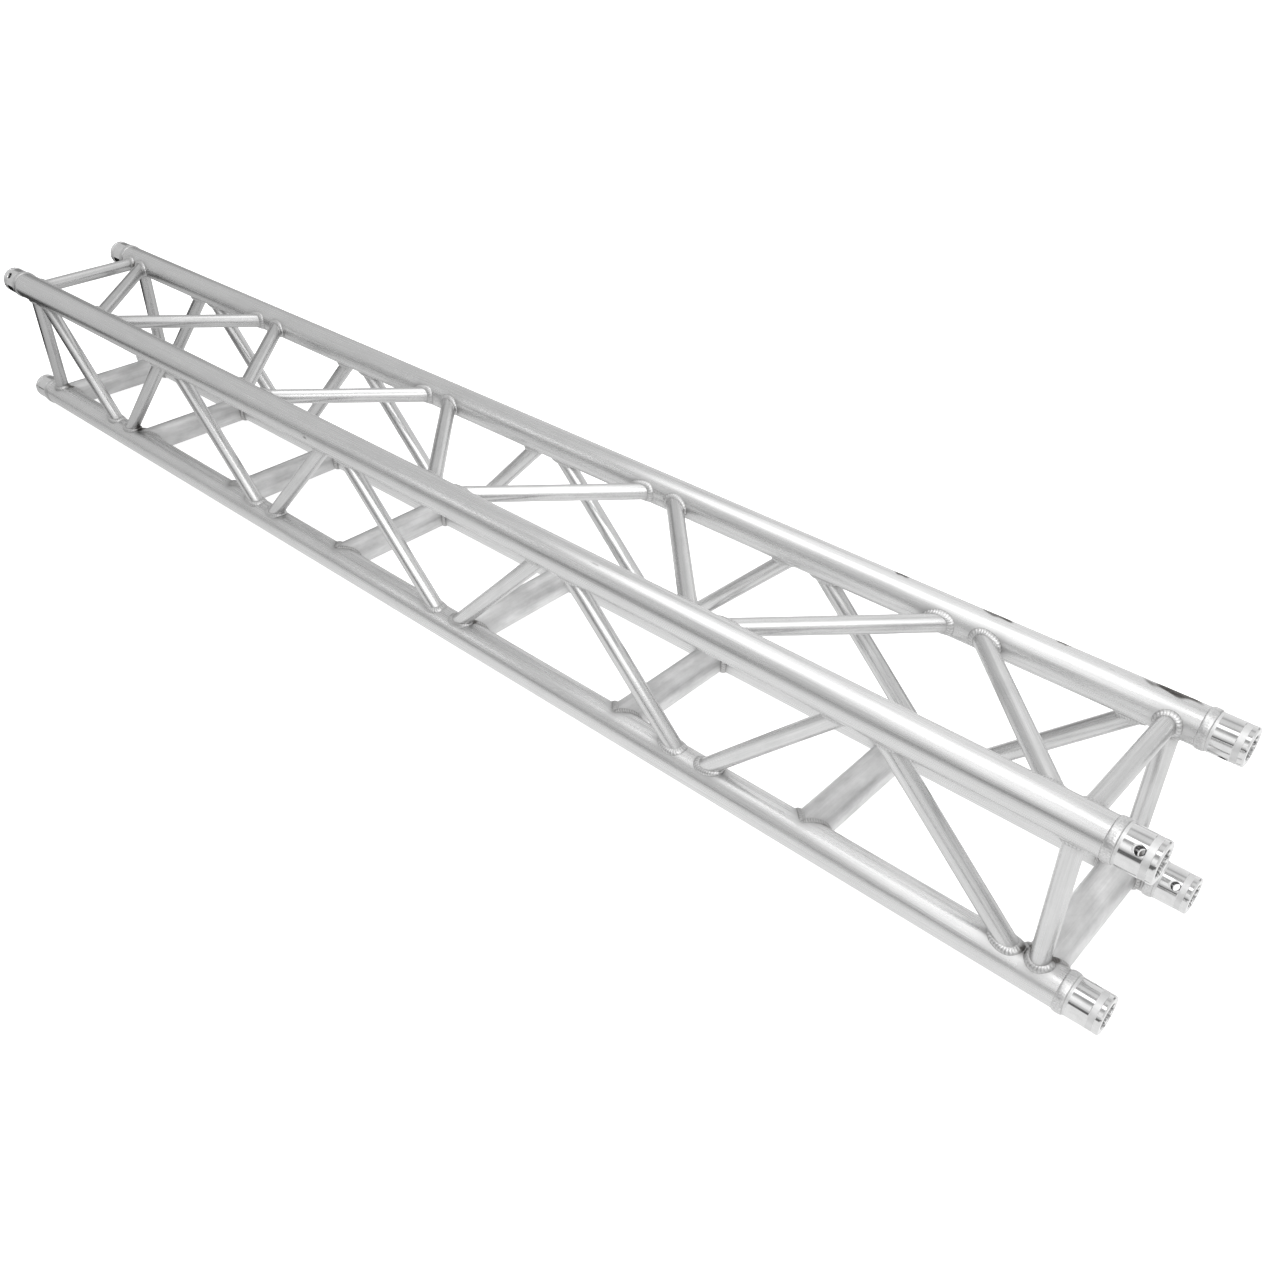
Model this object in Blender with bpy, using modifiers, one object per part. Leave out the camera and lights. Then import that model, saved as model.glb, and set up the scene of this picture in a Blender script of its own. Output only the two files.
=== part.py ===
"""Square box truss section for stage lighting, modelled at rest in metres with +Z up.

The section lies along X. Its origin is the middle of the face that it stands on. Four chord tubes
run the whole length, and each end of a chord carries a receiver: a turned sleeve with a conical
bore for a coupler, and a cross hole for the pin. The top, front and back faces are braced by
diagonals in a zigzag between two end struts. The bottom face is a ladder of thick rungs.
"""

import math

import bpy
from mathutils import Vector

# Overall layout
CHORD_SPACING = 0.240
CHORD_LENGTH = 2.400
END_FRAME_X = 1.162
GAP = 0.0003

# Chord tubes
CHORD_RADIUS = 0.025
CHORD_WALL = 0.003
CHORD_SIDES = 24

# Bracing of the top, front and back faces
DIAGONALS = 9
DIAGONAL_PITCH = 0.256
DIAGONAL_RUN = 0.240
BRACE_RADIUS = 0.0125
BRACE_WALL = 0.002
BRACE_SIDES = 12

# Ladder of the bottom face
RUNGS = 8
RUNG_RADIUS = 0.025
RUNG_WALL = 0.003
RUNG_SIDES = 16
RUNG_CLEARANCE_REACH = 0.060

# Receivers, measured from the end face of the chord tube towards the mouth
RECEIVER_SIDES = 24
RECEIVER_REACH = 0.050
RECEIVER_TAIL = 0.045
SPIGOT_RADIUS = CHORD_RADIUS - CHORD_WALL - GAP
SPIGOT_CHAMFER = 0.0015
BAND_START = 0.0352
BAND_END = 0.0428
BAND_DEPTH = 0.0003
BAND_BEVEL = 0.0004
MOUTH_CHAMFER = 0.002
BORE_MOUTH_RADIUS = 0.0160
BORE_THROAT_RADIUS = 0.0128
BORE_THROAT_AT = 0.004
BORE_CHAMFER = 0.0015
PIN_HOLE_AT = 0.028
PIN_HOLE_RADIUS = 0.006
PIN_DRILL_LENGTH = 0.080
PIN_DRILL_SIDES = 12

SHARP_ANGLE = math.radians(40)

HALF_SPACING = CHORD_SPACING / 2
MIDDLE_Z = CHORD_RADIUS + HALF_SPACING

# Each chord's place across the section: the sides of Y and Z that it is on
CHORDS = {
    "front_top": (-1, 1),
    "back_top": (1, 1),
    "front_bottom": (-1, -1),
    "back_bottom": (1, -1),
}

# Each braced face: the chord where its first diagonal starts, and the chord where it ends
BRACED_FACES = {
    "top": ("back_top", "front_top"),
    "front": ("front_top", "front_bottom"),
    "back": ("back_bottom", "back_top"),
}

# The two ends of the section, as a side of X
ENDS = {"left": -1, "right": 1}


def clear_scene():
    for obj in list(bpy.data.objects):
        bpy.data.objects.remove(obj, do_unlink=True)


def new_collection(name, hidden=False):
    collection = bpy.data.collections.new(name)
    bpy.context.scene.collection.children.link(collection)
    collection.hide_render = hidden
    return collection


def metal(name, colour, roughness):
    material = bpy.data.materials.new(name)
    material.use_nodes = True
    shader = material.node_tree.nodes["Principled BSDF"]
    shader.inputs["Base Color"].default_value = (*colour, 1.0)
    shader.inputs["Metallic"].default_value = 1.0
    shader.inputs["Roughness"].default_value = roughness
    return material


def on_chord(chord, x):
    """The point on a chord's axis at this place along the section."""
    side_y, side_z = CHORDS[chord]
    return Vector((x, side_y * HALF_SPACING, MIDDLE_Z + side_z * HALF_SPACING))


def turned(name, profile, sides, base, direction):
    """A closed (radius, height) outline turned about the line from base along direction."""
    mesh = bpy.data.meshes.new(name)
    points = [(radius, 0.0, height) for radius, height in profile]
    edges = [(i, (i + 1) % len(points)) for i in range(len(points))]
    mesh.from_pydata(points, edges, [])
    obj = bpy.data.objects.new(name, mesh)
    obj.location = base
    obj.rotation_mode = "QUATERNION"
    obj.rotation_quaternion = direction.to_track_quat("Z", "Y")
    screw = obj.modifiers.new("turn", "SCREW")
    screw.steps = sides
    screw.render_steps = sides
    screw.use_merge_vertices = True
    screw.merge_threshold = 0.00001
    return obj


def tube(name, start, end, radius, wall, sides):
    length = (end - start).length
    inner = radius - wall
    profile = [(radius, length), (radius, 0.0), (inner, 0.0), (inner, length)]
    return turned(name, profile, sides, start, end - start)


def rod(name, start, end, radius, sides):
    """A solid round bar, used as a cutter."""
    bpy.ops.mesh.primitive_cylinder_add(vertices=sides, radius=radius, depth=(end - start).length)
    obj = bpy.context.active_object
    obj.name = name
    obj.location = (start + end) / 2
    obj.rotation_mode = "QUATERNION"
    obj.rotation_quaternion = (end - start).to_track_quat("Z", "Y")
    for collection in list(obj.users_collection):
        collection.objects.unlink(obj)
    cutters.objects.link(obj)
    obj.hide_render = True
    obj.display_type = "WIRE"
    return obj


def cut(obj, cutter):
    boolean = obj.modifiers.new("cut_" + cutter.name, "BOOLEAN")
    boolean.operation = "DIFFERENCE"
    boolean.solver = "EXACT"
    boolean.object = cutter


def add_part(obj, material):
    """Keeps the shape that the modifiers give, shades it, and hangs it on the section's empty."""
    truss.objects.link(obj)
    bpy.context.view_layer.update()
    graph = bpy.context.evaluated_depsgraph_get()
    shape = bpy.data.meshes.new_from_object(obj.evaluated_get(graph))
    shape.name = obj.name
    obj.modifiers.clear()
    obj.data = shape
    shape.materials.clear()
    shape.materials.append(material)
    shape.shade_smooth()
    shape.set_sharp_from_angle(angle=SHARP_ANGLE)
    obj.parent = section
    return obj


def add_chords():
    half = CHORD_LENGTH / 2
    for chord in CHORDS:
        start, end = on_chord(chord, -half), on_chord(chord, half)
        obj = tube("chord_" + chord, start, end, CHORD_RADIUS, CHORD_WALL, CHORD_SIDES)
        add_part(obj, chord_metal)


def chord_clearances():
    """A bar for each chord, one gap wider than the tube, that copes the ends of what meets it."""
    half = CHORD_LENGTH / 2
    return {
        chord: rod(
            "clear_" + chord,
            on_chord(chord, -half),
            on_chord(chord, half),
            CHORD_RADIUS + GAP,
            CHORD_SIDES,
        )
        for chord in CHORDS
    }


def receiver_profile():
    """Down the outside from the mouth to the tail, and back up the bore."""
    band_radius = CHORD_RADIUS - BAND_DEPTH
    return [
        (CHORD_RADIUS - MOUTH_CHAMFER, RECEIVER_REACH),
        (CHORD_RADIUS, RECEIVER_REACH - MOUTH_CHAMFER),
        (CHORD_RADIUS, BAND_END + BAND_BEVEL),
        (band_radius, BAND_END),
        (band_radius, BAND_START),
        (CHORD_RADIUS, BAND_START - BAND_BEVEL),
        (CHORD_RADIUS, GAP),
        (SPIGOT_RADIUS, GAP),
        (SPIGOT_RADIUS, SPIGOT_CHAMFER - RECEIVER_TAIL),
        (SPIGOT_RADIUS - SPIGOT_CHAMFER, -RECEIVER_TAIL),
        (BORE_THROAT_RADIUS, -RECEIVER_TAIL),
        (BORE_THROAT_RADIUS, BORE_THROAT_AT),
        (BORE_MOUTH_RADIUS, RECEIVER_REACH - BORE_CHAMFER),
        (BORE_MOUTH_RADIUS + BORE_CHAMFER, RECEIVER_REACH),
    ]


def add_receivers():
    for end, side_x in ENDS.items():
        for chord, (side_y, side_z) in CHORDS.items():
            name = f"receiver_{chord}_{end}"
            outward = Vector((side_x, 0, 0))
            base = on_chord(chord, side_x * CHORD_LENGTH / 2)
            obj = turned(name, receiver_profile(), RECEIVER_SIDES, base, outward)
            # Each pin hole runs along the diagonal of the section that passes through its chord
            pin_axis = Vector((0, side_y, side_z)).normalized() * PIN_DRILL_LENGTH / 2
            middle = base + outward * PIN_HOLE_AT
            drill = rod(
                "drill_" + name,
                middle - pin_axis,
                middle + pin_axis,
                PIN_HOLE_RADIUS,
                PIN_DRILL_SIDES,
            )
            cut(obj, drill)
            add_part(obj, receiver_metal)


def brace(name, start_chord, start_x, end_chord, end_x, clearances):
    """A brace tube between two chord axes, coped to both chords."""
    start, end = on_chord(start_chord, start_x), on_chord(end_chord, end_x)
    obj = tube(name, start, end, BRACE_RADIUS, BRACE_WALL, BRACE_SIDES)
    cut(obj, clearances[start_chord])
    cut(obj, clearances[end_chord])
    return add_part(obj, brace_metal)


def brace_ends():
    """(name, chord, x, chord, x) of every diagonal and end strut."""
    ends = []
    for face, (first, second) in BRACED_FACES.items():
        for number in range(DIAGONALS):
            middle = (number - (DIAGONALS - 1) / 2) * DIAGONAL_PITCH
            start, end = (first, second) if number % 2 == 0 else (second, first)
            low, high = middle - DIAGONAL_RUN / 2, middle + DIAGONAL_RUN / 2
            ends.append((f"{face}_diagonal_{number + 1}", start, low, end, high))
        for end, side_x in ENDS.items():
            x = side_x * END_FRAME_X
            ends.append((f"{face}_strut_{end}", first, x, second, x))
    return ends


def brace_clearances(ends):
    """For each foot of a brace on a bottom chord: its place along the section and its cutter."""
    feet = []
    for name, start_chord, start_x, end_chord, end_x in ends:
        for chord, x in ((start_chord, start_x), (end_chord, end_x)):
            if not chord.endswith("bottom"):
                continue
            start, end = on_chord(start_chord, start_x), on_chord(end_chord, end_x)
            cutter = rod("clear_" + name, start, end, BRACE_RADIUS + GAP, BRACE_SIDES)
            feet.append((x, cutter))
    return feet


def add_rungs(clearances, feet):
    """Rungs between the bottom chords. Where a brace's foot is close, the rung's lip is cut back."""
    pitch = 2 * END_FRAME_X / (RUNGS - 1)
    for number in range(RUNGS):
        x = number * pitch - END_FRAME_X
        start, end = on_chord("front_bottom", x), on_chord("back_bottom", x)
        obj = tube(f"rung_{number + 1}", start, end, RUNG_RADIUS, RUNG_WALL, RUNG_SIDES)
        cut(obj, clearances["front_bottom"])
        cut(obj, clearances["back_bottom"])
        for foot_x, cutter in feet:
            if abs(foot_x - x) < RUNG_CLEARANCE_REACH:
                cut(obj, cutter)
        add_part(obj, rung_metal)


clear_scene()
truss = new_collection("lighting_truss_section")
cutters = new_collection("cutters", hidden=True)
section = bpy.data.objects.new("section_frame", None)
truss.objects.link(section)

chord_metal = metal("chord_aluminium", (0.74, 0.74, 0.74), 0.34)
brace_metal = metal("brace_aluminium", (0.68, 0.68, 0.68), 0.38)
rung_metal = metal("rung_aluminium", (0.66, 0.66, 0.66), 0.40)
receiver_metal = metal("receiver_aluminium", (0.86, 0.86, 0.86), 0.14)

add_chords()
add_receivers()
chord_cutters = chord_clearances()
all_brace_ends = brace_ends()
for brace_end in all_brace_ends:
    brace(*brace_end, chord_cutters)
add_rungs(chord_cutters, brace_clearances(all_brace_ends))
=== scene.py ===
import math

import bpy
import numpy as np
from mathutils import Euler, Matrix, Vector


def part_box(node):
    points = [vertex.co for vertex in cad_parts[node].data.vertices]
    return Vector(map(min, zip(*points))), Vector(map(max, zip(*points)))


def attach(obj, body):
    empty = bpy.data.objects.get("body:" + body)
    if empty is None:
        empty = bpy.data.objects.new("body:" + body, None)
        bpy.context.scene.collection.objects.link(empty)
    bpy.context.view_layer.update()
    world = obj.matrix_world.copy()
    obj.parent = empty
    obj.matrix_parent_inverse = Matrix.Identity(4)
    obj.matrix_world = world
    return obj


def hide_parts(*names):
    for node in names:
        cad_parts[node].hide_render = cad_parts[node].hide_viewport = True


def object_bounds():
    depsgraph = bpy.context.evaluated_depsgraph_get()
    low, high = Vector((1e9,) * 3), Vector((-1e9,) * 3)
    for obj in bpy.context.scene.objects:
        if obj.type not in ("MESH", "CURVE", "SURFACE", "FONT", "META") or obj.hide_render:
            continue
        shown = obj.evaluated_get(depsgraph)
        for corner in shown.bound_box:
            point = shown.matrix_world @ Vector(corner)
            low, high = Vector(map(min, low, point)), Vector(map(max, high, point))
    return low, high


# The looks of a square box truss section for stage lighting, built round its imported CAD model.
# Every tube is turned again at a fine pitch and coped to what it meets, the receivers get their
# machined detail, and the welds are laid as rippled beads along the real seams.

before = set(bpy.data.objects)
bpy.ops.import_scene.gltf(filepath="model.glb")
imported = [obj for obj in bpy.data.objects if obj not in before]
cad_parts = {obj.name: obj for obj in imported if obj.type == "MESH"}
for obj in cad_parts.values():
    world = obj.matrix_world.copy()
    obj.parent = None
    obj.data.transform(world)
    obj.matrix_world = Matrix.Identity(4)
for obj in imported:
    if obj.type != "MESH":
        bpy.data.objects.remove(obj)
cad_low, cad_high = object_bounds()

CHORDS = ("front_top", "back_top", "front_bottom", "back_bottom")
ENDS = {"left": -1, "right": 1}

# Each braced face: the chord where its first diagonal starts, and the chord where it ends
BRACED_FACES = {
    "top": ("back_top", "front_top"),
    "front": ("front_top", "front_bottom"),
    "back": ("back_bottom", "back_top"),
}

# Bracing, as the CAD model has it
DIAGONALS = 9
DIAGONAL_PITCH = 0.256
DIAGONAL_RUN = 0.240
BRACE_RADIUS = 0.0125
BRACE_WALL = 0.002
RUNGS = 8
RUNG_RADIUS = 0.025
TUBE_WALL = 0.003

# How finely tubes are meshed: sides round them, stations along a chord, of which the bore keeps
# one in so many, and the pitch along a brace or a rung near its ends and between them
CHORD_SIDES = 96
CHORD_STATIONS = 961
CHORD_INSIDE_STEP = 40
BRACE_SIDES = 64
RUNG_SIDES = 72
END_ZONE = 0.045
END_PITCH = 0.003
MIDDLE_PITCH = 0.03

# Receivers, measured from the end face of the chord tube towards the mouth
RECEIVER_SIDES = 128
RECEIVER_PITCH = 0.003
RECEIVER_REACH = 0.050
RECEIVER_TAIL = 0.045
SPIGOT_RADIUS = 0.0217
BAND_START = 0.0352
BAND_END = 0.0428
BAND_DEPTH = 0.0003
BAND_BEVEL = 0.0004
PLAIN_ROOT_END = 0.0106
SPIGOT_CHAMFER = 0.0015
MOUTH_CHAMFER = 0.002
MOUTH_SHOULDER = (0.35, 0.30)
BORE_MOUTH_RADIUS = 0.0160
BORE_THROAT_RADIUS = 0.0128
BORE_THROAT_AT = 0.004
BORE_CHAMFER = 0.0015
PIN_HOLE_AT = 0.028
PIN_HOLE_RADIUS = 0.006
PIN_HOLE_CHAMFER = 0.0010
PIN_HOLE_SINK = 0.0002
# The cutter of the pin hole, turned about its own axis
DRILL_SIDES = 64
DRILL_PITCH = 0.004
DRILL_REACH = 0.034
DRILL_CORE = 0.0001

# Stock: how tones differ at random, the painted shade at the left as the tone there and the span
# of X over which it reaches 1, and the seed of each kind of tube's grain, as (first, step)
TONE_SPREAD = (0.98, 1.02)
LEFT_FALLOFF_SHADE = 0.86
LEFT_FALLOFF_SPAN = (-1.3, 0.4)
BRACE_SEEDS = (0, 1.37)
RUNG_SEEDS = (50, 2.71)
CHORD_SEEDS = (100, 3.3)

# An edge shows as a crease above this angle, in degrees
TUBE_SHARP = 40
RECEIVER_SHARP = 24
BEAD_SHARP = 60

# Soot, with painted shade in a leaning foot's acute corner: the share of it on the open side of
# a leaning foot, and on every side of an upright one
OPEN_BRACE_SIDE = 0.30
OPEN_CHORD_SIDE = 0.22
UPRIGHT_BRACE = 0.25
UPRIGHT_RUNG = 0.75
# A foot leans when this much of its direction is along X
LEAN_FROM = 0.1
# How sooty feet are, from one to the next
SOOT_SPREAD = (0.5, 1.0)
# How fast it fades from a seam, how deep it is on a rung, and how much of a chord the bead hides
SOOT_FADE = 0.0055
RUNG_SOOT = 0.5
RUNG_SOOT_FADE = 0.009
BEAD_COVER = 0.004
# Soot and painted shade in the crotch between two feet: its depth, the gap that it fills, and
# how fast it fades
CROTCH_SOOT_AND_SHADE = 1.15
CROTCH_GAP = 0.0135
CROTCH_FADE = 0.0038
MOST_SOOT_AND_SHADE = 1.3
# A foot further along X than this doesn't soot a point
FOOT_REACH = 0.09
# Points on a seam: for the soot's distances, and for its own length
SEAM_SAMPLES = 90
SEAM_FINE = 720

# Rub marks: (chord, x, angle in degrees, half length, half width, depth)
SCUFFS = (
    ("back_top", 0.786, 110.0, 0.011, 0.0050, 1.15),
    ("back_top", 0.926, 109.0, 0.022, 0.0056, 1.30),
    ("back_top", 1.014, 111.0, 0.008, 0.0040, 1.10),
    ("back_top", 1.152, 106.0, 0.027, 0.0084, 1.45),
    ("back_top", 1.080, 84.0, 0.004, 0.0007, 0.60),
    ("front_top", -0.170, 2.0, 0.005, 0.0011, 0.90),
    ("front_top", 0.470, 71.0, 0.007, 0.0006, 0.45),
    ("front_bottom", 0.180, 60.0, 0.009, 0.0006, 0.45),
    ("back_top", -0.360, 62.0, 0.006, 0.0006, 0.50),
)
# How ragged their outlines are, how fast that varies along and across, and where they fade
# out and in, as shares of their size
SCUFF_RAGGED = 0.20
SCUFF_WAVES = (5.3, 2.1)
SCUFF_EDGE = (1.25, 0.75)

# Fillet beads: the leg on the chord, the share of it on the tube, the bulge, and how far the
# toes and the root are let into the metal
BEAD_LEG = 0.0058
BEAD_TUBE_LEG = 0.86
BEAD_BULGE = 0.0011
EMBED = 0.0003
BEAD_ROOT = 0.0012
BEAD_POINTS = 9
# Ripples: their pitch, height and sweep, the stations in each, and how round their crowns are
RIPPLE_PITCH = 0.0034
RIPPLE_HEIGHT = 0.00050
RIPPLE_SWEEP = 0.55
RIPPLE_STEPS = 6
LEAST_RIPPLES = 8
RIPPLE_ROUND = 0.8
# Unsteadiness of the welder's hand: (waves round the bead, size)
LEG_WANDER = (5, 0.05)
BULGE_WANDER = (6, 0.12)
# How much darker a bead is at its toes and in the valleys, and its dirt all over on the rungs
TOE_DARKENING = 0.70
VALLEY_DARKENING = 0.62
RUNG_BEAD_DIRT = 0.26
# The shares of its width that its toes take, on the chord and on the tube, and how narrow the
# darkening in a valley is
TOE_WIDTHS = (0.16, 0.10)
VALLEY_NARROW = 1.5

# The ring welds between chords and receivers: from and to along X past the chord's end
RING_START = -0.0055
RING_END = 0.0075
RING_HEIGHT = 0.0019
RING_ROOT = 0.0015
RING_POINTS = 15
RING_RIPPLE_PITCH = 0.0030
RING_RIPPLE_HEIGHT = 0.00014
RING_RIPPLE_SWEEP = 0.8
RING_HEIGHT_WANDER = (7, 0.035)
RING_EDGE_WANDER = (6, 0.03)
RING_TOE_DARKENING = 0.75
RING_VALLEY_DARKENING = 0.10
RING_TOE_WIDTHS = (0.08, 0.08)
# How flat its top is, and how round its shoulders are
RING_FLAT = 3.2
RING_ROUND = 0.62

rng = np.random.default_rng(7)


def chord_axis(chord):
    """The place of a chord's axis across the section, in Y and Z."""
    low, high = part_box("chord_" + chord)
    return np.array([(low.y + high.y) / 2, (low.z + high.z) / 2])


AXES = {chord: chord_axis(chord) for chord in CHORDS}
tube_low, tube_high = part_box("chord_front_top")
CHORD_RADIUS = (tube_high.z - tube_low.z) / 2
CHORD_END = tube_high.x
strut_low, strut_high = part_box("top_strut_right")
END_FRAME_X = (strut_low.x + strut_high.x) / 2


def on_chord(chord, x):
    return np.array([x, *AXES[chord]])


def unit(vector):
    return vector / np.linalg.norm(vector, axis=-1, keepdims=True)


def basis(direction):
    """A rotation whose third column points along a direction."""
    z = unit(np.asarray(direction, float))
    x = unit(np.cross([0.0, 1.0, 0.0] if abs(z[1]) < 0.9 else [1.0, 0.0, 0.0], z))
    return np.stack([x, np.cross(z, x), z], axis=1)


# Meshes


def grid_faces(rows, columns, first):
    """The quads of a grid that closes on itself both ways, as vertex numbers from first."""
    i = np.arange(rows)[:, None]
    j = np.arange(columns)[None, :]
    corners = [
        (i, j),
        ((i + 1) % rows, j),
        ((i + 1) % rows, (j + 1) % columns),
        (i, (j + 1) % columns),
    ]
    return np.stack([first + a * columns + b for a, b in corners], axis=-1).reshape(-1, 4)


def signed_volume(points, faces):
    a, b, c, d = (points[faces[:, k]] for k in range(4))
    return np.einsum("ij,ij->", a, np.cross(b, c)) + np.einsum("ij,ij->", a, np.cross(c, d))


def mesh_of_grids(name, grids):
    """One mesh of closed grids. Each grid is (points, darkening), of shapes (rows, columns, 3)
    and (rows, columns); the darkening holds painted shade as well as real marks."""
    points, faces, grime_and_shade, first = [], [], [], 0
    for grid, darkening in grids:
        rows, columns = grid.shape[:2]
        own = grid_faces(rows, columns, 0)
        flat = grid.reshape(-1, 3)
        if signed_volume(flat - flat.mean(0), own) < 0:
            own = own[:, ::-1]
        points.append(flat)
        faces.append(own + first)
        grime_and_shade.append(np.broadcast_to(darkening, (rows, columns)).reshape(-1))
        first += rows * columns
    points, faces = np.concatenate(points), np.concatenate(faces)
    mesh = bpy.data.meshes.new(name)
    mesh.vertices.add(len(points))
    mesh.vertices.foreach_set("co", points.astype(np.float32).ravel())
    mesh.loops.add(faces.size)
    mesh.loops.foreach_set("vertex_index", faces.astype(np.int32).ravel())
    mesh.polygons.add(len(faces))
    mesh.polygons.foreach_set("loop_start", np.arange(0, faces.size, 4, dtype=np.int32))
    mesh.update(calc_edges=True)
    mesh.validate()
    layer = mesh.attributes.new("grime_and_shade", "FLOAT", "POINT")
    layer.data.foreach_set("value", np.concatenate(grime_and_shade).astype(np.float32))
    mesh.shade_smooth()
    return mesh


def set_even(mesh, name, value):
    """A number that is the same all over a piece."""
    layer = mesh.attributes.new(name, "FLOAT", "POINT")
    layer.data.foreach_set("value", np.full(len(mesh.vertices), value, np.float32))


def seed_of(seeds, number):
    first, step = seeds
    return first + number * step


def set_grain_tone_and_falloff_shade(mesh, seed, x):
    """What tells a tube from its neighbours: its grain and its tone, with painted shade that
    darkens it to the left, where the light falls off.
    """
    set_even(mesh, "seed", seed)
    # Painted shade: the tone falls off towards the left, as the light does there.
    place = smooth_step(x, *LEFT_FALLOFF_SPAN)
    set_even(mesh, "tone", rng.uniform(*TONE_SPREAD) * (LEFT_FALLOFF_SHADE + (1 - LEFT_FALLOFF_SHADE) * place))


def add_piece(name, mesh, material, nodes=(), sharp=TUBE_SHARP, matrix=None):
    """Shows a mesh as a piece that rides with the section and stands for some CAD nodes."""
    mesh.materials.clear()
    mesh.materials.append(material)
    mesh.set_sharp_from_angle(angle=math.radians(sharp))
    obj = bpy.data.objects.new(name, mesh)
    bpy.context.scene.collection.objects.link(obj)
    if matrix is not None:
        obj.matrix_world = matrix
    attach(obj, "root")
    if nodes:
        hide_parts(*nodes)
    return obj


def placed(rotation, origin):
    matrix = np.eye(4)
    matrix[:3, :3] = rotation
    matrix[:3, 3] = origin
    return Matrix(matrix.tolist())


# Tubes


def coped(direction, radius, rim, reach):
    """How far from a chord's axis each generator line of a tube leaves the chord's surface.

    rim holds the unit vectors from the tube's axis to its generator lines, and reach is the
    chord's radius."""
    start, step = radius * rim[:, 1:], direction[1:]
    a = step @ step
    b = start @ step
    c = np.einsum("ij,ij->i", start, start) - reach**2
    return (-b + np.sqrt(np.maximum(b * b - a * c, 0.0))) / a


def rim_vectors(rotation, sides):
    angles = np.arange(sides) * 2 * math.pi / sides
    return np.cos(angles)[:, None] * rotation[:, 0] + np.sin(angles)[:, None] * rotation[:, 1]


def stations(length, zone, fine, coarse):
    """Places along a tube from 0 to 1, close together near its ends."""
    head = np.arange(0.0, zone, fine)
    count = max(2, round((length - 2 * zone) / coarse) + 1)
    middle = np.linspace(zone, length - zone, count)
    return np.concatenate([head, middle, length - head[::-1]]) / length


def coped_tube(start, end, radius, wall, sides):
    """A tube between two chord axes as a closed grid in its own frame: (grid, rotation, unit
    vectors to its sides, distance of each point from the nearer seam)."""
    length = np.linalg.norm(end - start)
    rotation = basis(end - start)
    along = rotation[:, 2]
    rim = rim_vectors(rotation, sides)
    local = rim @ rotation
    columns, seam = [], []
    for r, order in ((radius, 1), (radius - wall, -1)):
        near = coped(along, r, rim, CHORD_RADIUS)
        far = length - coped(-along, r, rim, CHORD_RADIUS)
        share = stations(length, END_ZONE, END_PITCH, MIDDLE_PITCH)[::order]
        height = near[:, None] + share[None, :] * (far - near)[:, None]
        grid = r * local[:, None, :] + height[:, :, None] * np.array([0.0, 0.0, 1.0])
        columns.append(grid)
        seam.append(np.minimum(height - near[:, None], far[:, None] - height))
    return np.concatenate(columns, axis=1), rotation, rim, np.concatenate(seam, axis=1)


def smooth_step(value, low, high):
    t = np.clip((value - low) / (high - low), 0.0, 1.0)
    return t * t * (3 - 2 * t)


def tube_soot_and_shade(seam, rim, lean):
    """Soot on a tube near its seams, most on the side that leans over the chord, where painted
    shade darkens its acute corner as well.
    """
    # Painted shade joins the soot on the side over the chord, in the acute corner.
    side = OPEN_BRACE_SIDE + (1 - OPEN_BRACE_SIDE) * np.clip(rim[:, 0] * lean, 0.0, 1.0)
    return side[:, None] * np.exp(-seam / SOOT_FADE)


# Welds


def seam_curve(origin, direction, radius, count=None):
    """The closed line where a tube meets the chord through origin, in count points at an even
    pitch or enough for its ripples, with the outward normals of the chord and of the tube along
    it, and the tube's direction."""
    rotation = basis(direction)
    fine = SEAM_FINE
    rim = rim_vectors(rotation, fine)
    height = coped(rotation[:, 2], radius, rim, CHORD_RADIUS)
    points = origin + radius * rim + height[:, None] * rotation[:, 2]
    loop = np.concatenate([points, points[:1]])
    steps = np.concatenate([[0.0], np.cumsum(np.linalg.norm(np.diff(loop, axis=0), axis=1))])
    if count is None:
        count = max(LEAST_RIPPLES, round(steps[-1] / RIPPLE_PITCH)) * RIPPLE_STEPS
    at = np.linspace(0.0, steps[-1], count, endpoint=False)
    angle = np.interp(at, steps, np.linspace(0.0, 2 * math.pi, fine + 1))
    rim = np.cos(angle)[:, None] * rotation[:, 0] + np.sin(angle)[:, None] * rotation[:, 1]
    height = coped(rotation[:, 2], radius, rim, CHORD_RADIUS)
    points = origin + radius * rim + height[:, None] * rotation[:, 2]
    chord_normal = unit((points - origin) * np.array([0.0, 1.0, 1.0]))
    return points, chord_normal, rim, rotation[:, 2]


def wander(count, waves, size):
    """A smooth closed random line about 1."""
    t = np.linspace(0.0, 2 * math.pi, count, endpoint=False)
    line = np.zeros(count)
    for wave in range(1, waves + 1):
        line += rng.normal() * np.sin(wave * t + rng.uniform(0, 2 * math.pi)) / wave
    return 1 + size * line


def toe_share(u, first, last):
    """How much of a toe is at u, across a bead from 0 to 1 whose toes have these widths."""
    return np.maximum(1 - u / first, (u - (1 - last)) / last).clip(0, 1)


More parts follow.
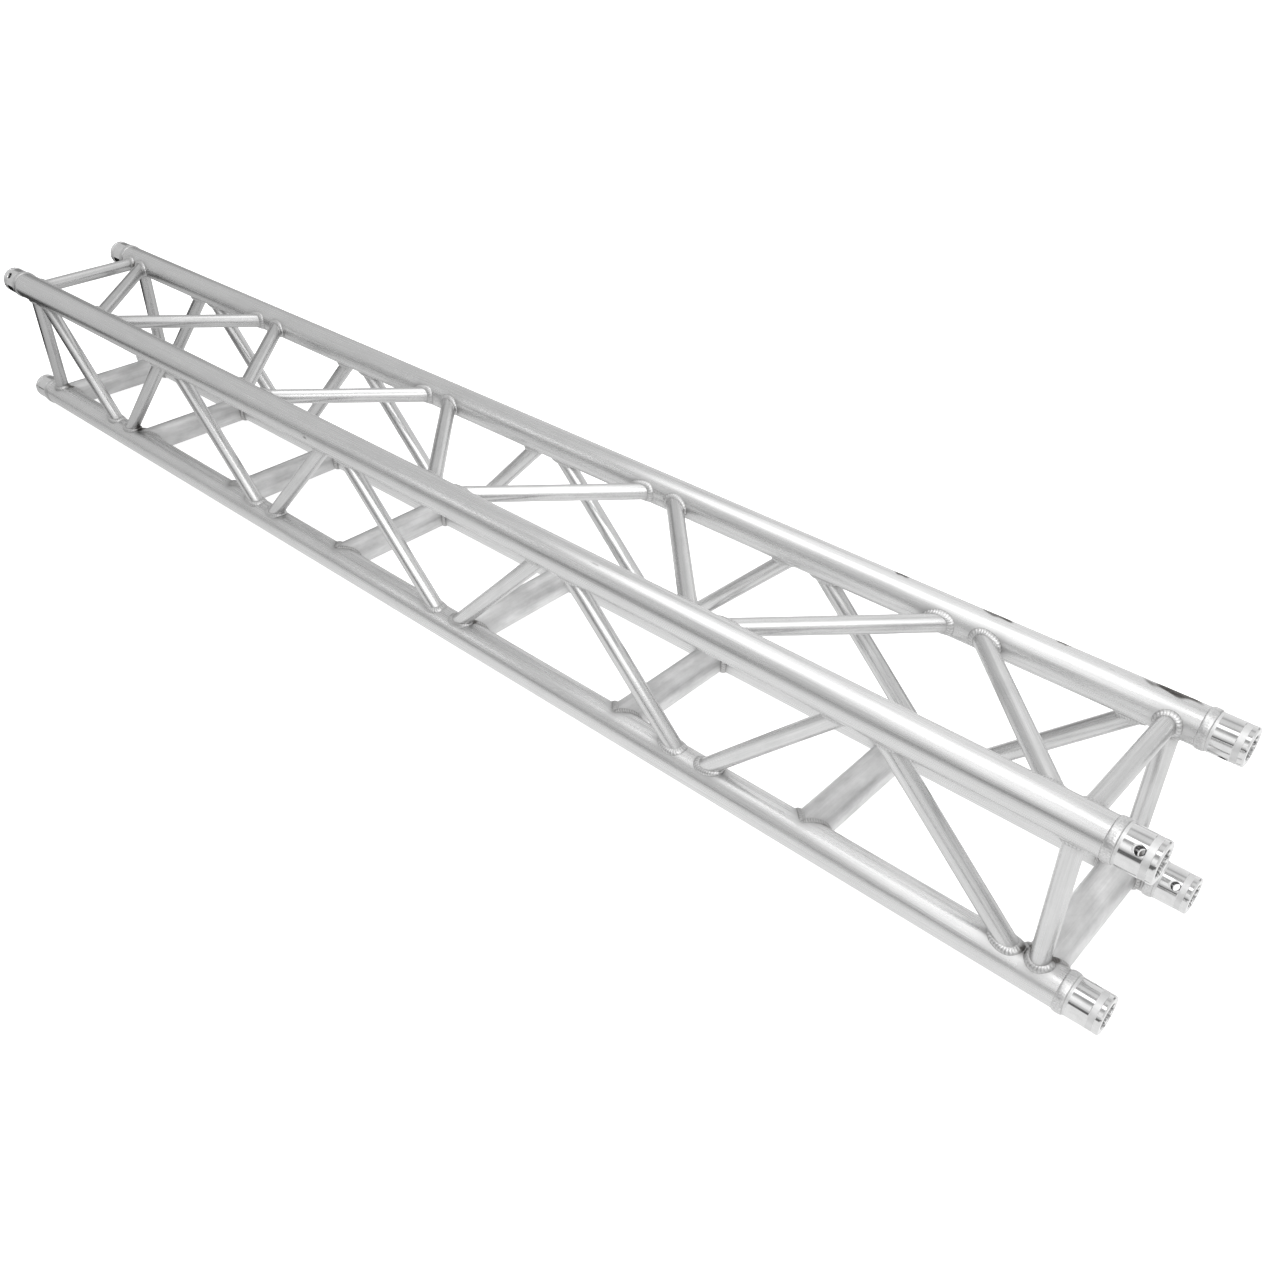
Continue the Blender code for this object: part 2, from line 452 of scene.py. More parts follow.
def bead(origin, direction, radius, outlines):
    """A rippled fillet bead round a tube's foot, as a closed grid with its darkening, which
    holds painted shade in the crotches between feet.
    """
    points, chord_normal, tube_normal, along = seam_curve(origin, direction, radius)
    count = len(points)
    tangent = unit(np.roll(points, -1, axis=0) - np.roll(points, 1, axis=0))
    on_chord_side = np.cross(chord_normal, tangent)
    on_chord_side *= np.sign(np.einsum("ij,ij->i", on_chord_side, tube_normal))[:, None]
    on_tube_side = np.cross(tube_normal, tangent)
    on_tube_side *= np.sign(on_tube_side @ along)[:, None]
    outward = unit(chord_normal + tube_normal)
    leg_chord = BEAD_LEG * wander(count, *LEG_WANDER)
    leg_tube = BEAD_LEG * BEAD_TUBE_LEG * wander(count, *LEG_WANDER)
    toe_chord = points + on_chord_side * leg_chord[:, None]
    toe_tube = points + on_tube_side * leg_tube[:, None]
    radial = (toe_chord - origin) * np.array([0.0, 1.0, 1.0])
    toe_chord = toe_chord - radial + unit(radial) * (CHORD_RADIUS - EMBED)
    height = (toe_tube - origin) @ along
    spoke = toe_tube - origin - height[:, None] * along
    toe_tube = toe_tube - spoke + unit(spoke) * (radius - EMBED)
    u = np.linspace(0.0, 1.0, BEAD_POINTS)
    crown = 4 * u * (1 - u)
    phase = np.arange(count)[:, None] / RIPPLE_STEPS + RIPPLE_SWEEP * crown[None, :]
    ripple = np.abs(np.sin(math.pi * (phase + rng.uniform()))) ** RIPPLE_ROUND
    lift = BEAD_BULGE * crown[None, :] * wander(count, *BULGE_WANDER)[:, None]
    lift = lift + RIPPLE_HEIGHT * ripple * np.sqrt(crown)[None, :]
    face = toe_chord[:, None, :] * (1 - u)[None, :, None] + toe_tube[:, None, :] * u[None, :, None]
    face = face + outward[:, None, :] * lift[:, :, None]
    root = (points - outward * BEAD_ROOT)[:, None, :]
    toes = toe_share(u, *TOE_WIDTHS)
    valleys = (1 - ripple) ** VALLEY_NARROW * np.sqrt(crown)[None, :]
    all_over = RUNG_BEAD_DIRT if radius > BRACE_RADIUS else 0.0
    darkening = all_over + TOE_DARKENING * toes[None, :] + VALLEY_DARKENING * valleys
    # Soot and painted shade in the crotches between feet.
    nearest, second, _ = foot_distances(face.reshape(-1, 3), outlines)
    darkening = np.maximum(darkening, crotch_soot_and_shade(nearest, second).reshape(darkening.shape))
    darkening = np.concatenate([darkening, np.zeros((count, 1))], axis=1)
    return np.concatenate([face, root], axis=1), darkening


def ring_bead(chord, side):
    """The raised weld between a chord tube and its receiver, as a closed grid with its darkening
    at the toes and in the valleys.
    """
    count = round(2 * math.pi * CHORD_RADIUS / RING_RIPPLE_PITCH) * RIPPLE_STEPS
    angles = np.arange(count) * 2 * math.pi / count
    u = np.linspace(0.0, 1.0, RING_POINTS)
    plateau = (1 - np.abs(2 * u - 1) ** RING_FLAT) ** RING_ROUND
    crown = 1 - (2 * u - 1) ** 2
    phase = np.arange(count)[:, None] / RIPPLE_STEPS + RING_RIPPLE_SWEEP * crown[None, :]
    ripple = np.abs(np.sin(math.pi * phase)) ** RIPPLE_ROUND
    shape = RING_HEIGHT * plateau[None, :] * wander(count, *RING_HEIGHT_WANDER)[:, None]
    shape = shape + RING_RIPPLE_HEIGHT * ripple * plateau[None, :]
    height = CHORD_RADIUS - EMBED + shape
    edge = wander(count, *RING_EDGE_WANDER)
    width = RING_END - RING_START
    x = CHORD_END + RING_START + width * (0.5 + (u[None, :] - 0.5) * edge[:, None])
    height = np.concatenate([height, np.full((count, 1), CHORD_RADIUS - RING_ROOT)], axis=1)
    x = np.concatenate([x, np.full((count, 1), CHORD_END + (RING_START + RING_END) / 2)], axis=1)
    y = AXES[chord][0] + height * np.cos(angles)[:, None]
    z = AXES[chord][1] + height * np.sin(angles)[:, None]
    toes = toe_share(u, *RING_TOE_WIDTHS)
    darkening = RING_TOE_DARKENING * toes[None, :] + RING_VALLEY_DARKENING * (1 - ripple)
    darkening = np.concatenate([darkening, np.zeros((count, 1))], axis=1)
    return np.stack([side * x, y, z], axis=-1), darkening


# The members: (name, chord, x, chord, x) of every diagonal and end strut


def brace_ends():
    ends = []
    for face, (first, second) in BRACED_FACES.items():
        for number in range(DIAGONALS):
            middle = (number - (DIAGONALS - 1) / 2) * DIAGONAL_PITCH
            start, end = (first, second) if number % 2 == 0 else (second, first)
            low, high = middle - DIAGONAL_RUN / 2, middle + DIAGONAL_RUN / 2
            ends.append((f"{face}_diagonal_{number + 1}", start, low, end, high))
        for end, side in ENDS.items():
            x = side * END_FRAME_X
            ends.append((f"{face}_strut_{end}", first, x, second, x))
    return ends


def rung_places():
    return [n * 2 * END_FRAME_X / (RUNGS - 1) - END_FRAME_X for n in range(RUNGS)]


def all_feet(braces):
    """Every tube foot on a chord: (chord, origin, direction away from the chord, radius)."""
    feet = []
    for _, start_chord, start_x, end_chord, end_x in braces:
        start, end = on_chord(start_chord, start_x), on_chord(end_chord, end_x)
        feet.append((start_chord, start, unit(end - start), BRACE_RADIUS))
        feet.append((end_chord, end, unit(start - end), BRACE_RADIUS))
    for x in rung_places():
        start, end = on_chord("front_bottom", x), on_chord("back_bottom", x)
        feet.append(("front_bottom", start, unit(end - start), RUNG_RADIUS))
        feet.append(("back_bottom", end, unit(start - end), RUNG_RADIUS))
    return feet


def add_braces(braces, outlines, material):
    for number, (name, start_chord, start_x, end_chord, end_x) in enumerate(braces):
        start, end = on_chord(start_chord, start_x), on_chord(end_chord, end_x)
        grid, rotation, rim, seam = coped_tube(start, end, BRACE_RADIUS, BRACE_WALL, BRACE_SIDES)
        lean = np.sign(end_x - start_x) or 1.0
        nearest, second, _ = foot_distances(grid.reshape(-1, 3) @ rotation.T + start, outlines)
        # Soot and painted shade where two feet nearly touch.
        crotch = crotch_soot_and_shade(nearest, second).reshape(seam.shape)
        soot_and_shade = np.maximum(tube_soot_and_shade(seam, rim, lean), crotch)
        mesh = mesh_of_grids(name + "_tube", [(grid, soot_and_shade)])
        set_grain_tone_and_falloff_shade(mesh, seed_of(BRACE_SEEDS, number), (start_x + end_x) / 2)
        add_piece(
            name + "_tube", mesh, material, [name], matrix=placed(rotation, start)
        )


def add_rungs(material):
    for number, x in enumerate(rung_places()):
        start, end = on_chord("front_bottom", x), on_chord("back_bottom", x)
        grid, rotation, _, seam = coped_tube(start, end, RUNG_RADIUS, TUBE_WALL, RUNG_SIDES)
        name = f"rung_{number + 1}"
        soot_and_shade = RUNG_SOOT * np.exp(-seam / RUNG_SOOT_FADE)
        mesh = mesh_of_grids(name + "_tube", [(grid, soot_and_shade)])
        set_grain_tone_and_falloff_shade(mesh, seed_of(RUNG_SEEDS, number), x)
        add_piece(
            name + "_tube", mesh, material, [name], matrix=placed(rotation, start)
        )


def foot_outlines(feet):
    """Each foot as (chord, place along X, seam points, how much soot it leaves at each of them,
    with painted shade added in a leaning foot's acute corner).
    """
    outlines = []
    for chord, origin, direction, radius in feet:
        seam = seam_curve(origin, direction, radius, SEAM_SAMPLES)[0]
        strength = rng.uniform(*SOOT_SPREAD)
        offset = unit(seam - seam.mean(0))[:, 0] * np.sign(direction[0] or 1.0)
        leans = abs(direction[0]) > LEAN_FROM
        even = UPRIGHT_RUNG if radius > BRACE_RADIUS else UPRIGHT_BRACE
        # In a leaning foot's acute corner the chord gets painted shade along with the soot.
        acute = np.clip(offset, 0.0, 1.0) ** 2 if leans else np.full(len(seam), even)
        soot_and_shade_weight = strength * (OPEN_CHORD_SIDE + (1 - OPEN_CHORD_SIDE) * acute)
        outlines.append((chord, origin[0], seam, soot_and_shade_weight))
    return outlines


def foot_distances(points, outlines):
    """How far each point is from the nearest foot and from the next one, and the weight of soot
    and painted shade of the nearest there."""
    nearest = np.full(len(points), 1.0)
    second = np.full(len(points), 1.0)
    weight = np.zeros(len(points))
    for _, x, seam, soot_and_shade_weight in outlines:
        close = np.flatnonzero(np.abs(points[:, 0] - x) < FOOT_REACH)
        gaps = np.linalg.norm(points[close, None, :] - seam[None, :, :], axis=2)
        index = gaps.argmin(axis=1)
        gap = gaps[np.arange(len(close)), index]
        nearer = gap < nearest[close]
        second[close] = np.where(nearer, nearest[close], np.minimum(second[close], gap))
        weight[close] = np.where(nearer, soot_and_shade_weight[index], weight[close])
        nearest[close] = np.where(nearer, gap, nearest[close])
    return nearest, second, weight


def crotch_soot_and_shade(nearest, second):
    """Black soot and painted shade where two feet nearly touch."""
    return CROTCH_SOOT_AND_SHADE * np.exp(-np.maximum(nearest + second - CROTCH_GAP, 0.0) / CROTCH_FADE)


def chord_soot_and_shade(points, outlines):
    """Soot on a chord: a halo round every foot, darker with painted shade in its acute corner
    and between feet.
    """
    nearest, second, weight = foot_distances(points, outlines)
    halo = weight * np.exp(-np.maximum(nearest - BEAD_COVER, 0.0) / SOOT_FADE)
    return np.minimum(np.maximum(halo, crotch_soot_and_shade(nearest, second)), MOST_SOOT_AND_SHADE)


def scuff_grime(chord, x, angle):
    """Dark rub marks on a chord, by place along X and angle from the front up over the top."""
    grime_and_shade = np.zeros(np.broadcast(x, angle).shape)
    for own, at, turn, half_length, half_width, depth in SCUFFS:
        if own == chord:
            along = (x - at) / half_length
            across = (angle - math.radians(turn)) * CHORD_RADIUS / half_width
            away = np.sqrt(along**2 + across**2)
            wave = np.sin(SCUFF_WAVES[0] * along + SCUFF_WAVES[1] * across + turn)
            away = away * (1 + SCUFF_RAGGED * wave)
            grime_and_shade = np.maximum(grime_and_shade, depth * smooth_step(away, *SCUFF_EDGE))
    return grime_and_shade


def add_chords(outlines, material):
    run = [0.0, 0.0, 2 * CHORD_END]
    share = np.linspace(0.0, 1.0, CHORD_STATIONS)
    for number, chord in enumerate(CHORDS):
        rotation = basis([1.0, 0.0, 0.0])
        start = on_chord(chord, -CHORD_END)
        rim = rim_vectors(rotation, CHORD_SIDES)
        local = rim @ rotation
        outer = CHORD_RADIUS * local[:, None, :] + share[None, :, None] * run
        back = share[::-CHORD_INSIDE_STEP]
        inner = (CHORD_RADIUS - TUBE_WALL) * local[:, None, :] + back[None, :, None] * run
        world = (outer.reshape(-1, 3) @ rotation.T) + start
        own = [outline for outline in outlines if outline[0] == chord]
        grime_and_shade = chord_soot_and_shade(world, own).reshape(outer.shape[:2])
        x = world[:, 0].reshape(outer.shape[:2])
        spoke = world[:, 1:] - AXES[chord]
        angle = np.arctan2(spoke[:, 1], -spoke[:, 0]).reshape(outer.shape[:2])
        grime_and_shade = np.maximum(grime_and_shade, scuff_grime(chord, x, angle))
        grime_and_shade = np.concatenate([grime_and_shade, np.zeros(inner.shape[:2])], axis=1)
        grid = np.concatenate([outer, inner], axis=1)
        name = f"chord_{chord}"
        mesh = mesh_of_grids(name + "_tube", [(grid, grime_and_shade)])
        set_even(mesh, "seed", seed_of(CHORD_SEEDS, number))
        set_even(mesh, "tone", 1.0)
        add_piece(
            name + "_tube", mesh, material, [name], matrix=placed(rotation, start)
        )


def receiver_outline():
    """Radius and height of a receiver's turned shape: down the outside and back up the bore."""
    full, band = CHORD_RADIUS, CHORD_RADIUS - BAND_DEPTH
    shoulder_in, shoulder_down = MOUTH_SHOULDER
    return [
        (full - MOUTH_CHAMFER, RECEIVER_REACH),
        (full - MOUTH_CHAMFER * shoulder_in, RECEIVER_REACH - MOUTH_CHAMFER * shoulder_down),
        (full, RECEIVER_REACH - MOUTH_CHAMFER),
        (full, BAND_END + BAND_BEVEL),
        (band, BAND_END),
        (band, BAND_START),
        (full, BAND_START - BAND_BEVEL),
        (full, 0.0),
        (SPIGOT_RADIUS, 0.0),
        (SPIGOT_RADIUS, SPIGOT_CHAMFER - RECEIVER_TAIL),
        (SPIGOT_RADIUS - SPIGOT_CHAMFER, -RECEIVER_TAIL),
        (BORE_THROAT_RADIUS, -RECEIVER_TAIL),
        (BORE_THROAT_RADIUS, BORE_THROAT_AT),
        (BORE_MOUTH_RADIUS, RECEIVER_REACH - BORE_CHAMFER),
        (BORE_MOUTH_RADIUS + BORE_CHAMFER, RECEIVER_REACH),
    ]


def turned_grid(outline, sides, pitch):
    """A closed outline turned about local Z, with points along its long runs."""
    points = []
    for (r0, z0), (r1, z1) in zip(outline, outline[1:] + outline[:1]):
        count = max(1, math.ceil(math.hypot(r1 - r0, z1 - z0) / pitch))
        points += [(r0 + (r1 - r0) * k / count, z0 + (z1 - z0) * k / count) for k in range(count)]
    profile = np.array(points)
    angles = np.arange(sides) * 2 * math.pi / sides
    return np.stack(
        [
            np.cos(angles)[:, None] * profile[None, :, 0],
            np.sin(angles)[:, None] * profile[None, :, 0],
            np.broadcast_to(profile[None, :, 1], (sides, len(profile))),
        ],
        axis=-1,
    )


def pin_drill():
    """The shape that the cross drilling takes away, with its countersinks, about local Z."""
    sink = CHORD_RADIUS - PIN_HOLE_SINK
    flare = PIN_HOLE_RADIUS + PIN_HOLE_CHAMFER + (DRILL_REACH - sink)
    outline = [
        (flare, -DRILL_REACH),
        (PIN_HOLE_RADIUS, -sink + PIN_HOLE_CHAMFER),
        (PIN_HOLE_RADIUS, sink - PIN_HOLE_CHAMFER),
        (flare, DRILL_REACH),
        (DRILL_CORE, DRILL_REACH),
        (DRILL_CORE, -DRILL_REACH),
    ]
    return turned_grid(outline, DRILL_SIDES, DRILL_PITCH)


def grid_object(name, grid):
    """An object of one clean closed grid, in the scene."""
    obj = bpy.data.objects.new(name, mesh_of_grids(name, [(grid, 0.0)]))
    bpy.context.scene.collection.objects.link(obj)
    return obj


def drilled_receiver(node, pin):
    """The mesh of a turned receiver, cross drilled along the pin's direction."""
    turned = turned_grid(receiver_outline(), RECEIVER_SIDES, RECEIVER_PITCH)
    blank = grid_object(node + "_blank", turned)
    drill = grid_object(node + "_drill", pin_drill() @ basis(pin).T + [0, 0, PIN_HOLE_AT])
    boolean = blank.modifiers.new("pin_hole", "BOOLEAN")
    boolean.operation = "DIFFERENCE"
    boolean.solver = "EXACT"
    boolean.object = drill
    graph = bpy.context.evaluated_depsgraph_get()
    mesh = bpy.data.meshes.new_from_object(blank.evaluated_get(graph))
    for obj in (blank, drill):
        bpy.data.objects.remove(obj, do_unlink=True)
    mesh.shade_smooth()
    return mesh


def add_receivers(material):
    middle = (cad_low + cad_high) / 2
    for chord in CHORDS:
        side_y = np.sign(AXES[chord][0] - middle.y)
        side_z = np.sign(AXES[chord][1] - middle.z)
        for end, side in ENDS.items():
            node = f"receiver_{chord}_{end}"
            rotation = basis([side, 0.0, 0.0])
            mesh = drilled_receiver(node, rotation.T @ unit(np.array([0.0, side_y, side_z])))
            matrix = placed(rotation, on_chord(chord, side * CHORD_END))
            name = node + "_turned"
            add_piece(name, mesh, material, [node], RECEIVER_SHARP, matrix)


def add_welds(braces, outlines, material):
    for face in BRACED_FACES:
        grids = []
        for name, start_chord, start_x, end_chord, end_x in braces:
            if not name.startswith(face + "_"):
                continue
            start, end = on_chord(start_chord, start_x), on_chord(end_chord, end_x)
            grids.append(bead(start, end - start, BRACE_RADIUS, outlines))
            grids.append(bead(end, start - end, BRACE_RADIUS, outlines))
        name = f"weld_beads_{face}_face"
        add_piece(name, mesh_of_grids(name, grids), material, sharp=BEAD_SHARP)
    grids = []
    for x in rung_places():
        start, end = on_chord("front_bottom", x), on_chord("back_bottom", x)
        grids.append(bead(start, end - start, RUNG_RADIUS, outlines))
        grids.append(bead(end, start - end, RUNG_RADIUS, outlines))
    name = "weld_beads_rungs"
    add_piece(name, mesh_of_grids(name, grids), material, sharp=BEAD_SHARP)
    for end, side in ENDS.items():
        name = f"ring_welds_{end}"
        grids = [ring_bead(chord, side) for chord in CHORDS]
        add_piece(name, mesh_of_grids(name, grids), material, sharp=BEAD_SHARP)


# Materials

# Colours of soot and of weld dirt, each also used for painted shade in crotches.
SOOT_AND_SHADE_COLOUR = (0.085, 0.080, 0.076, 1.0)
WELD_DIRT_AND_SHADE = (0.12, 0.115, 0.11, 1.0)
WHITE = (1.0, 1.0, 1.0, 1.0)
# Finishes of the tubes: (tone, roughness, anisotropy, how cloudy)
CHORD_FINISH = (0.72, 0.26, 0.80, 0.035)
BRACE_FINISH = (0.69, 0.25, 0.70, 0.07)
RUNG_FINISH = (0.74, 0.36, 0.50, 0.22)
# A span of radius past the bore's mouth over which the bore's painted reflection and shade
# fade out
BORE_LOOK_EDGE = (0.0006, 0.0012)
BAND_EDGE = 0.0002
MATTE_ROUGHER = 0.48
SOOT_ROUGHER = 0.35
# The bore's painted reflection patches, light and dark: the values of its noise between which
# they lie, and their shades
BORE_REFLECTION_SPAN = (0.40, 0.60)
BORE_REFLECTION_SHADES = (0.28, 0.92)
# The values between which any other noise is read
NOISE_SPAN = (0.3, 0.7)
WIDE_SPAN = (0.25, 0.75)


class Graph:
    """Short ways to add and join shader nodes."""

    def __init__(self, tree):
        self.tree = tree

    def add(self, kind, inputs=(), output=0, **settings):
        node = self.tree.nodes.new("ShaderNode" + kind)
        for key, value in settings.items():
            setattr(node, key, value)
        for key, value in dict(inputs).items():
            self.feed(node.inputs[key], value)
        return node.outputs[output]

    def feed(self, socket, value):
        if isinstance(value, bpy.types.NodeSocket):
            self.tree.links.new(value, socket)
        else:
            socket.default_value = value

    def math(self, operation, first, second=0.0, clamp=False):
        return self.add("Math", {0: first, 1: second}, operation=operation, use_clamp=clamp)

    def place(self):
        """Where a point is, in its piece's own metres."""
        return self.add("TexCoord", output=3)

    def span(self, value, low, high, to_low=0.0, to_high=1.0, kind="LINEAR"):
        inputs = {0: value, 1: low, 2: high, 3: to_low, 4: to_high}
        return self.add("MapRange", inputs, interpolation_type=kind)

    def fade(self, value, low, high, to_low=0.0, to_high=1.0):
        return self.span(value, low, high, to_low, to_high, "SMOOTHSTEP")

    def read(self, noise, to_low, to_high, span=NOISE_SPAN):
        """A noise, brought to the values from to_low to to_high."""
        return self.span(noise, *span, to_low, to_high)

    def noise(self, vector, scale, detail=2.0, roughness=0.5, shift=0.0):
        inputs = {
            "Vector": vector,
            "W": shift,
            "Scale": scale,
            "Detail": detail,
            "Roughness": roughness,
        }
        return self.add("TexNoise", inputs, noise_dimensions="4D")

    def stretched(self, vector, scale):
        return self.add("Mapping", {"Vector": vector, "Scale": scale})

    def mix(self, factor, first, second):
        inputs = {0: factor, 6: first, 7: second}
        return self.add("Mix", inputs, output=2, data_type="RGBA")

    def grey(self, value):
        return self.add("CombineColor", {0: value, 1: value, 2: value})

    def attribute(self, name):
        return self.add("Attribute", output=2, attribute_name=name)

    def add_output(self, shader):
        output = self.tree.nodes.new("ShaderNodeOutputMaterial")
        self.tree.links.new(shader, output.inputs["Surface"])


def new_material(name):
    material = bpy.data.materials.new(name)
    material.use_nodes = True
    return material, Graph(material.node_tree), material.node_tree.nodes["Principled BSDF"]


def tube_metal(name, tone, roughness, anisotropy, mottle):
    """Drawn aluminium tube: fine lines along it, cloudy handling marks, and soot near welds, with
    painted shade in the crotches between feet and in the acute corners of leaning feet.
    """
    material, graph, shader = new_material(name)
    place = graph.place()
    seed = graph.attribute("seed")
    fine = graph.noise(graph.stretched(place, (1, 1, 0.010)), 1500, 2.0, 0.6, seed)
    broad = graph.noise(graph.stretched(place, (1, 1, 0.022)), 330, 2.0, 0.55, seed)
    cloud = graph.noise(graph.stretched(place, (1, 1, 0.45)), 42, 4.0, 0.6, seed)
    speck = graph.noise(place, 900, 2.0, 0.6, seed)
    grime_and_shade = graph.attribute("grime_and_shade")

    shade = graph.read(fine, 0.95, 1.03, WIDE_SPAN)
    shade = graph.math("MULTIPLY", shade, graph.read(broad, 0.93, 1.05, WIDE_SPAN))
    shade = graph.math("MULTIPLY", shade, graph.read(cloud, 1 - mottle, 1 + mottle, WIDE_SPAN))
    # Each tube's own tone, with painted shade that is darker towards the left.
    shade = graph.math("MULTIPLY", shade, graph.attribute("tone"))
    colour = graph.grey(graph.math("MULTIPLY", shade, tone, clamp=True))

    patch = graph.read(cloud, 0.5, 1.2)
    patch = graph.math("MULTIPLY", patch, graph.read(speck, 0.6, 1.15))
    patch = graph.math("MULTIPLY", patch, graph.read(fine, 0.72, 1.16))
    # Soot, scuffs and painted shade from the mesh darken the colour here.
    soot_and_shade = graph.math("MULTIPLY", grime_and_shade, patch, clamp=True)
    colour = graph.mix(soot_and_shade, colour, SOOT_AND_SHADE_COLOUR)
    graph.feed(shader.inputs["Base Color"], colour)

    rough = graph.read(broad, roughness - 0.03, roughness + 0.04, WIDE_SPAN)
    rough = graph.math("ADD", rough, graph.math("MULTIPLY", soot_and_shade, SOOT_ROUGHER), clamp=True)
    graph.feed(shader.inputs["Roughness"], rough)
    shader.inputs["Metallic"].default_value = 1.0
    shader.inputs["Anisotropic"].default_value = anisotropy

    bump = {"Strength": 0.20, "Distance": 0.00003, "Height": fine}
    graph.feed(shader.inputs["Normal"], graph.add("Bump", bump))
    return material


def weld_metal():
    """Bright cast weld metal: a matte crystal grain, darker in the ripples and at the toes, and
    black with soot and painted shade in the crotches between feet.
    """
    material, graph, shader = new_material("weld_metal")
    place = graph.place()
    grain = graph.noise(place, 1500, 3.0, 0.65)
    coarse = graph.noise(place, 640, 2.0, 0.6)
    cloud = graph.noise(place, 160, 3.0, 0.6)
    grime_and_shade = graph.attribute("grime_and_shade")
    shade = graph.read(grain, 0.60, 0.80)
    shade = graph.math("MULTIPLY", shade, graph.read(coarse, 0.78, 1.12))
    cloudy = graph.read(cloud, 0.90, 1.06)
    shade = graph.math("MULTIPLY", shade, cloudy, clamp=True)
    # Darker at toes and in valleys, dirt on rung beads, and soot with painted shade in crotches.
    darkening = graph.math("MULTIPLY", grime_and_shade, graph.read(cloud, 0.6, 1.2), clamp=True)
    colour = graph.mix(darkening, graph.grey(shade), WELD_DIRT_AND_SHADE)
    graph.feed(shader.inputs["Base Color"], colour)
    graph.feed(shader.inputs["Roughness"], graph.read(grain, 0.30, 0.44))
    shader.inputs["Metallic"].default_value = 1.0
    pits = graph.math("ADD", graph.math("MULTIPLY", coarse, 2.0), grain)
    bump = {"Strength": 0.6, "Distance": 0.00012, "Height": pits}
    graph.feed(shader.inputs["Normal"], graph.add("Bump", bump))
    return material


def receiver_metal():
    """Polished turned aluminium, with tool rings, a matte band near the mouth and a matte root
    next to the ring weld. The bore's colour is a painted reflection and painted shade, in light and
    dark patches."""
    material, graph, shader = new_material("receiver_aluminium")
    place = graph.place()
    height = graph.add("SeparateXYZ", {"Vector": place}, output=2)
    rings = graph.noise(graph.stretched(place, (0.02, 0.02, 1)), 5200, 2.0, 0.6)
    smear = graph.noise(graph.stretched(place, (1, 1, 0.35)), 150, 3.0, 0.6)
    edge = BAND_EDGE
    band = graph.span(height, BAND_START - edge, BAND_START + edge)
    past = graph.span(height, BAND_END - edge, BAND_END + edge, 1.0, 0.0)
    band = graph.math("MULTIPLY", band, past)
    root = graph.span(height, PLAIN_ROOT_END - 2 * edge, PLAIN_ROOT_END + 2 * edge, 1.0, 0.0)
    plain = graph.math("MAXIMUM", band, root)
    shade = graph.read(rings, 0.72, 0.78)
    shade = graph.math("MULTIPLY", shade, graph.read(smear, 0.94, 1.04), clamp=True)
    matte = graph.read(smear, 0.66, 0.80)
    colour = graph.mix(plain, graph.grey(shade), graph.grey(matte))
    flat = {"Vector": graph.stretched(place, (1, 1, 0))}
    spoke = graph.add("VectorMath", flat, output=1, operation="LENGTH")
    low, high = (BORE_MOUTH_RADIUS + past_mouth for past_mouth in BORE_LOOK_EDGE)
    bore = graph.span(spoke, low, high, 1.0, 0.0)
    # Painted reflection and shade: light and dark patches stand in for what the bore mirrors.
    painted_reflection = graph.noise(graph.stretched(place, (1, 1, 0.25)), 260, 2.0, 0.5)
    colour = graph.mix(bore, colour, graph.grey(graph.span(painted_reflection, *BORE_REFLECTION_SPAN, *BORE_REFLECTION_SHADES)))
    graph.feed(shader.inputs["Base Color"], colour)
    rough = graph.read(smear, 0.06, 0.13)
    rough = graph.math("ADD", rough, graph.math("MULTIPLY", plain, MATTE_ROUGHER))
    graph.feed(shader.inputs["Roughness"], rough)
    shader.inputs["Metallic"].default_value = 1.0
    bump = {"Strength": 0.18, "Distance": 0.00002, "Height": rings}
    graph.feed(shader.inputs["Normal"], graph.add("Bump", bump))
    return material


def floor_material():
    """Plain white studio sheet, lit a little from beneath."""
    material, graph, shader = new_material("floor_sheet")
    place = graph.place()
    cloud = graph.noise(place, 1.5, 2.0, 0.5)
    tone = graph.read(cloud, 0.80, 0.82)
    graph.feed(shader.inputs["Base Color"], graph.grey(tone))
    shader.inputs["Roughness"].default_value = 0.9
    shader.inputs["Specular IOR Level"].default_value = 0.0
    shader.inputs["Emission Color"].default_value = WHITE
    shader.inputs["Emission Strength"].default_value = FLOOR_GLOW
    return material


def ramp(graph, value, stops, scale=1.0):
    """A line through (place, level) stops, read at value. The levels stay under scale."""
    low, high = stops[0][0], stops[-1][0]
    node = graph.tree.nodes.new("ShaderNodeValToRGB")
    graph.feed(node.inputs[0], graph.span(value, low, high))
    elements = node.color_ramp.elements
    while len(elements) < len(stops):
        elements.new(0.5)
    for element, (place, level) in zip(elements, stops):
        element.position = (place - low) / (high - low)
        element.color = (level / scale, level / scale, level / scale, 1.0)
    return graph.math("MULTIPLY", node.outputs[0], scale)


def card_material(name, level_of):
    """A card that the metal mirrors. level_of gives its radiance from a graph and its X and Y."""
    material = bpy.data.materials.new(name)
    material.use_nodes = True
    graph = Graph(material.node_tree)
    graph.tree.nodes.clear()
    split = graph.tree.nodes.new("ShaderNodeSeparateXYZ")
    graph.feed(split.inputs[0], graph.place())
    glow = graph.add("Emission", {"Color": level_of(graph, split.outputs[0], split.outputs[1])})
    graph.add_output(glow)
    return material


